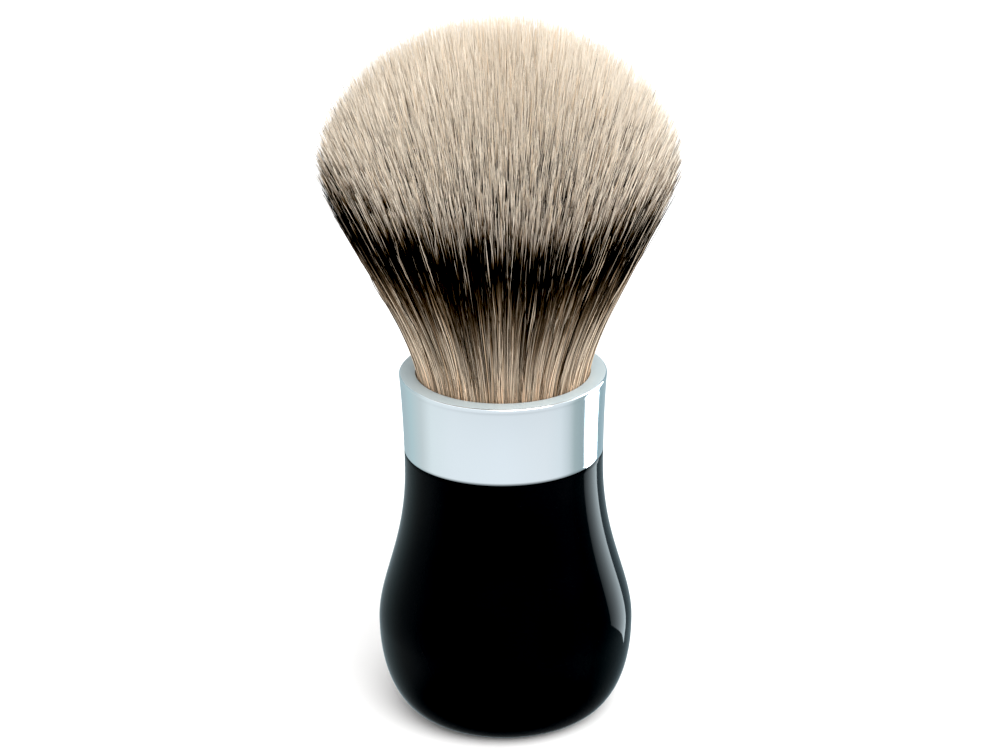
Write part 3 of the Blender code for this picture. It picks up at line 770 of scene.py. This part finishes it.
def make_hair_banding():
    """Group: the colour of a hair from its tone and its place between root and tip."""
    tree, start, end = start_group(
        "hair_banding",
        [("Tone", 'NodeSocketFloat', 0.5), ("Band", 'NodeSocketFloat', 0.5),
         ("Columns", 'NodeSocketFloat', 64.0), ("Pale From", 'NodeSocketFloat', 0.9)],
        [("Color", 'NodeSocketColor'), ("Gloss", 'NodeSocketFloat')])
    band = start.outputs["Band"]
    scaled = add_node(tree, "ShaderNodeMath", operation='MULTIPLY',
                      in_0=start.outputs["Tone"], in_1=start.outputs["Columns"])
    column = add_node(tree, "ShaderNodeMath", operation='FLOOR', in_0=scaled.outputs[0])
    chance = add_node(tree, "ShaderNodeTexWhiteNoise", noise_dimensions='1D', in_1=column.outputs[0])
    odds = add_node(tree, "ShaderNodeSeparateColor", in_0=chance.outputs["Color"])
    banded = add_ramp(tree, band, [
        (0.00, (0.97, 0.70, 0.48)), (0.10, (0.94, 0.71, 0.51)), (0.17, (0.80, 0.665, 0.51)),
        (0.30, (0.70, 0.58, 0.45)), (0.38, (0.27, 0.19, 0.12)), (0.43, (0.100, 0.063, 0.032)),
        (0.50, (0.004, 0.003, 0.002)), (0.61, (0.004, 0.003, 0.002)), (0.645, (0.17, 0.105, 0.048)),
        (0.68, (0.52, 0.435, 0.355)), (0.90, (0.74, 0.655, 0.545)), (1.00, (0.97, 0.88, 0.75))])
    unbanded = add_ramp(tree, band, [
        (0.00, (0.90, 0.68, 0.47)), (0.30, (0.72, 0.60, 0.45)), (0.50, (0.50, 0.40, 0.30)),
        (0.90, (0.76, 0.67, 0.56)), (1.00, (0.97, 0.88, 0.75))])
    is_pale = add_node(tree, "ShaderNodeMath", operation='GREATER_THAN',
                       in_0=start.outputs["Tone"], in_1=start.outputs["Pale From"])
    kind = mix_colours(tree, is_pale.outputs[0], banded, unbanded)
    dimmest = add_node(tree, "ShaderNodeMapRange", in_0=band, in_1=0.35, in_2=0.85, in_3=0.30, in_4=0.80)
    bright = add_node(tree, "ShaderNodeMapRange",
                      in_0=odds.outputs[0], in_3=dimmest.outputs[0], in_4=1.08)
    shaded = add_node(tree, "ShaderNodeVectorMath", operation='SCALE', in_0=kind)
    tree.links.new(bright.outputs[0], shaded.inputs["Scale"])
    golden = add_node(tree, "ShaderNodeMapRange", interpolation_type='SMOOTHSTEP',
                      in_0=odds.outputs[1], in_1=0.70, in_2=1.0, in_4=0.65)
    warm = mix_colours(tree, golden.outputs[0], shaded.outputs[0], (1.0, 0.80, 0.58),
                       blend_type='MULTIPLY')
    tree.links.new(warm, end.inputs["Color"])
    tree.links.new(odds.outputs[2], end.inputs["Gloss"])
    return tree


hair_banding = make_hair_banding()


def hair_material(name, band_low, band_high):
    """Hair whose map runs from band_low to band_high of the band coordinate."""
    material, tree, shader = start_material(name, (0.5, 0.4, 0.3), 0.45, ior=1.28)
    place = add_node(tree, "ShaderNodeUVMap", uv_map="OFBake")
    split = add_node(tree, "ShaderNodeSeparateXYZ", in_0=place.outputs[0])
    stretch = add_node(tree, "ShaderNodeMapRange", in_0=split.outputs[1], in_3=band_low, in_4=band_high)
    banding = add_node(tree, "ShaderNodeGroup", node_tree=hair_banding,
                       in_0=split.outputs[0], in_1=stretch.outputs[0],
                       in_2=tone_columns, in_3=1 - pale_columns / tone_columns)
    gloss = add_node(tree, "ShaderNodeMapRange", in_0=banding.outputs["Gloss"], in_3=0.38, in_4=0.60)
    tree.links.new(banding.outputs["Color"], shader.inputs["Base Color"])
    tree.links.new(gloss.outputs[0], shader.inputs["Roughness"])
    return material


# ---------------------------------------------------------------- hair: roots
# The outer strands from inside the collar's mouth up to the seam, over a heart of
# packed roots that is painted near-black as the shade between the strands.
low_band_top = 0.60
root_hair = hair_material("root_hair", 0.0, low_band_top)
root_depth = 0.0016                     # how far the strands go down inside the mouth
low_heights = np.tile([-root_depth, 0.0, 0.0025, 0.0050, 0.0075, seam_height], (hair_count, 1))
around = np.arctan2(roots[:, 1], roots[:, 0])
for half, name in enumerate(("root_hair_front", "root_hair_back")):
    chosen = outer & ((around < 0) == (half == 0))
    piece = make_strands(name, [spin_strands(chosen, low_heights, 0.0, low_band_top)])
    piece.data.materials.append(root_hair)
    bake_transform(piece)

heart_share = edge_share + 0.02
heart_outline = [(0.0, rim_height + seam_height + 0.0006)]
for k in range(13):
    level = seam_height - (seam_height + 0.0015) * k / 12
    spread = heart_share * float(fan_radius(np.array(max(level, 0.0))))
    if k == 0:
        heart_outline.append((spread - 0.001, rim_height + level + 0.0005))
    heart_outline.append((spread, rim_height + level))
heart_outline.append((0.0, rim_height - root_depth))
heart = turn_on_lathe("packed_roots", heart_outline, steps=96)
# The heart's near-black colour is painted shade, the dark seen between the outer strands.
shaded_heart_hair, tree, shader = start_material("packed_hair_painted_shade", (0.03, 0.02, 0.012), 0.8)
add_buffing(tree, shader, 0.0002, 0.002, 0.00005, (0.7, 0.9),
            ((0.012, 0.008, 0.005), (0.05, 0.035, 0.022)))
heart.data.materials.append(shaded_heart_hair)
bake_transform(heart)
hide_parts("hair_root")

# ---------------------------------------------------------------- hair: tips
# All the strands from the seam to their tips, in eight bundles round the knot.
bundle_count = 8
tip_hair = hair_material("tip_hair", 0.0, 1.0)
seam_level = np.full(hair_count, seam_height)
below_edge = np.clip(dark_top - band_edge, seam_height + 0.004, tips_at - 0.003)
above_edge = np.clip(dark_top + band_edge, below_edge + 0.001, tips_at - 0.002)
fine_heights = np.concatenate([rings_between(seam_level, below_edge, 7),
                               rings_between(above_edge, tips_at, 6)], axis=1)
plain_heights = np.concatenate([rings_between(seam_level, below_edge, 3),
                                rings_between(above_edge, tips_at, 5)], axis=1)
sector = np.floor((around / (2 * math.pi) + 0.5) * bundle_count).astype(int) % bundle_count
for number in range(bundle_count):
    bundle = [spin_strands(outer & (sector == number), fine_heights, 0.0, 1.0),
              spin_strands(~outer & (sector == number), plain_heights, 0.0, 1.0)]
    piece = make_strands(f"tip_hair_{number + 1}", bundle)
    piece.data.materials.append(tip_hair)
    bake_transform(piece)
    if number == 0:
        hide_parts("hair_neck", "hair_head")

# ---------------------------------------------------------------- hair: packed middle
# The strands inside the dome stand too close to be told apart, so between the tips one
# sees only more hair.  This body of packed hair stands a few millimetres under the tips.
middle_share = 0.84
middle_depth = 0.0042
middle_foot = seam_height + 0.0012
shares = np.linspace(0.0, middle_share, 25)
levels = tip_heights(shares) - middle_depth
middle_outline = [(0.0, rim_height + float(levels[0]))]
for share, level in zip(shares[1:], levels[1:]):
    middle_outline.append((float(share * fan_radius(level)), rim_height + float(level)))
for level in np.linspace(levels[-1], middle_foot, 14)[1:]:
    middle_outline.append((float(middle_share * fan_radius(level)), rim_height + float(level)))
middle_outline.append((0.0, rim_height + middle_foot))
middle_hair = turn_on_lathe("packed_middle", middle_outline, steps=96)
massed_hair, tree, shader = start_material("massed_hair", (0.5, 0.43, 0.35), 0.85)
place = add_node(tree, "ShaderNodeTexCoord").outputs["Object"]
upward = add_node(tree, "ShaderNodeSeparateXYZ", in_0=place).outputs[2]
ripe = add_node(tree, "ShaderNodeMapRange", interpolation_type='SMOOTHSTEP',
                in_0=upward, in_1=rim_height + 0.0350, in_2=rim_height + 0.0465)
cream = add_buffing(tree, shader, 0.0003, 0.0009, 0.00008, (0.8, 0.95),
                    ((0.20, 0.165, 0.13), (0.52, 0.45, 0.37)))
tree.links.new(mix_colours(tree, ripe.outputs[0], (0.006, 0.004, 0.003), cream),
               shader.inputs["Base Color"])
middle_hair.data.materials.append(massed_hair)
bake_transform(middle_hair)

# ---------------------------------------------------------------- floor, light and camera
# A plain white table in a light tent.  A long soft panel stands to the right, a little
# behind the brush, and gives the plate and the resin their bright stripe.
floor_mesh = bpy.data.meshes.new("table_top")
floor_size = 6.0
floor_mesh.from_pydata([(-floor_size, -floor_size, 0), (floor_size, -floor_size, 0),
                        (floor_size, floor_size, 0), (-floor_size, floor_size, 0)],
                       [], [(0, 1, 2, 3)])
floor_mesh.materials.append(start_material("white_table", (0.93, 0.93, 0.93), 0.9)[0])
table_top = add_object("table_top", floor_mesh)
table_top.visible_glossy = False
table_top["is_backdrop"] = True


def find_bearing(tree, direction):
    """The bearing of a direction or place about Z, 0 towards the front, and its split."""
    split = add_node(tree, "ShaderNodeSeparateXYZ", in_0=direction)
    toward = add_node(tree, "ShaderNodeMath", operation='MULTIPLY', in_0=split.outputs[1], in_1=-1.0)
    bearing = add_node(tree, "ShaderNodeMath", operation='ARCTAN2',
                       in_0=split.outputs[0], in_1=toward.outputs[0])
    return bearing.outputs[0], split


# Shiny surfaces see the tent's tinted walls, its bright ceiling and the dark under the
# table's edge.  Everything else is lit by an even white.
world = bpy.data.worlds.new("light_tent")
bpy.context.scene.world = world
world.use_nodes = True
tree = world.node_tree
tree.nodes.clear()
direction = add_node(tree, "ShaderNodeTexCoord").outputs["Generated"]
bearing, split = find_bearing(tree, direction)
bearing_share = add_node(tree, "ShaderNodeMapRange", in_0=bearing, in_1=-math.pi, in_2=math.pi)
wall_stops = [(-180, (0.36, 0.50, 0.56)), (-150, (0.50, 0.62, 0.66)), (-132, (0.575, 0.735, 0.77)),
              (-109, (0.735, 0.81, 0.83)), (-92, (0.95, 1.03, 1.06)), (-60, (1.02, 1.08, 1.13)),
              (0, (1.04, 1.10, 1.16)), (50, (1.0, 1.05, 1.10)), (69, (0.93, 1.0, 1.05)),
              (80, (0.76, 0.84, 0.88)), (90, (0.50, 0.60, 0.62)), (103, (0.42, 0.52, 0.55)),
              (142, (0.36, 0.50, 0.56)), (160, (0.43, 0.56, 0.62)), (180, (0.36, 0.50, 0.56))]
walls = add_ramp(tree, bearing_share.outputs[0],
                 [((degrees + 180) / 360, colour) for degrees, colour in wall_stops])
height = add_node(tree, "ShaderNodeMath", operation='ARCSINE', in_0=split.outputs[2]).outputs[0]
ceiling = add_node(tree, "ShaderNodeMapRange", interpolation_type='SMOOTHSTEP',
                   in_0=height, in_1=math.radians(30), in_2=math.radians(62))
tent = mix_colours(tree, ceiling.outputs[0], walls, (1.7, 1.72, 1.75))
pit = add_node(tree, "ShaderNodeMapRange", interpolation_type='SMOOTHSTEP',
               in_0=height, in_1=math.radians(-26), in_2=math.radians(-50))
mirrored = mix_colours(tree, pit.outputs[0], tent, (0.22, 0.24, 0.25))
rays = add_node(tree, "ShaderNodeLightPath")
seen = mix_colours(tree, rays.outputs["Is Glossy Ray"], (1.06, 1.05, 1.04), mirrored)
glow = add_node(tree, "ShaderNodeBackground", in_0=seen)
add_node(tree, "ShaderNodeOutputWorld", in_0=glow.outputs[0])

# The side panel is a curved strip of glowing cloth that only shiny surfaces see.
panel_reach = 0.090
panel_from = 99                         # bearings in degrees
panel_to = 128
panel_top = 0.150
panel_levels = 12
panel_verts = []
for degrees in range(panel_from, panel_to + 1):
    angle = math.radians(degrees)
    foot = -0.012 - 0.001 * (degrees - 108)     # the lower edge slopes down to the back
    for row in range(panel_levels + 1):
        level = foot + (panel_top - foot) * row / panel_levels
        panel_verts.append((panel_reach * math.sin(angle), -panel_reach * math.cos(angle), level))
panel_faces = []
for k in range(panel_to - panel_from):
    for row in range(panel_levels):
        first = k * (panel_levels + 1) + row
        after = first + panel_levels + 1
        panel_faces.append((first, first + 1, after + 1, after))
panel_mesh = bpy.data.meshes.new("side_panel")
panel_mesh.from_pydata(panel_verts, [], panel_faces)
side_panel = add_object("side_panel", panel_mesh)
side_panel.visible_camera = False
side_panel.visible_diffuse = False
side_panel.visible_shadow = False
side_panel.visible_transmission = False
glowing, tree, shader = start_material("glowing_cloth", (0.0, 0.0, 0.0), 1.0)
place = add_node(tree, "ShaderNodeTexCoord").outputs["Object"]
bearing = find_bearing(tree, place)[0]
across = add_node(tree, "ShaderNodeMapRange",
                  in_0=bearing, in_1=math.radians(panel_from), in_2=math.radians(panel_to))
glow_stops = [(99, 0.30), (103, 0.48), (109, 0.68), (118, 0.92), (128, 1.00)]
cloth = add_ramp(tree, across.outputs[0], [
    ((degrees - panel_from) / (panel_to - panel_from), (share * 0.80, share * 0.94, share))
    for degrees, share in glow_stops])
tree.links.new(cloth, shader.inputs["Emission Color"])
shader.inputs["Emission Strength"].default_value = 8.0
panel_mesh.materials.append(glowing)
side_panel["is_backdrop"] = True


def hang_light(name, place, width, power):
    """A square soft box at a place, turned to face the middle of the brush."""
    lamp = bpy.data.lights.new(name, 'AREA')
    lamp.size = width
    lamp.energy = power
    box = add_object(name, lamp)
    box.location = place
    aim = Vector((0.0, 0.0, 0.06))
    box.rotation_euler = (aim - Vector(place)).to_track_quat('-Z', 'Y').to_euler()


hang_light("key_box", (0.27, -0.50, 0.68), 0.80, 9.3)
hang_light("side_box", (0.7, 0.05, 0.45), 0.4, 0.5)

camera_data = bpy.data.cameras.new("camera")
camera_data.sensor_width = 36.0
camera_data.lens = 114.4
camera_data.clip_start = 0.01
camera = add_object("camera", camera_data)
camera_distance = 0.45
camera_height = math.radians(21.9)
camera_roll = math.radians(-0.62)
camera_aim = Vector((-0.00043, 0.0, 0.05125))
look = Vector((0.0, math.cos(camera_height), -math.sin(camera_height)))
camera.location = camera_aim - look * camera_distance
camera.rotation_mode = 'QUATERNION'
level_view = look.to_track_quat('-Z', 'Y')
camera.rotation_quaternion = Matrix.Rotation(-camera_roll, 3, look).to_quaternion() @ level_view
bpy.context.scene.camera = camera
view = bpy.context.scene.view_settings
view.view_transform = 'Standard'
view.use_curve_mapping = True
view.curve_mapping.black_level = (0.009, 0.009, 0.009)

low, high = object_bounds()
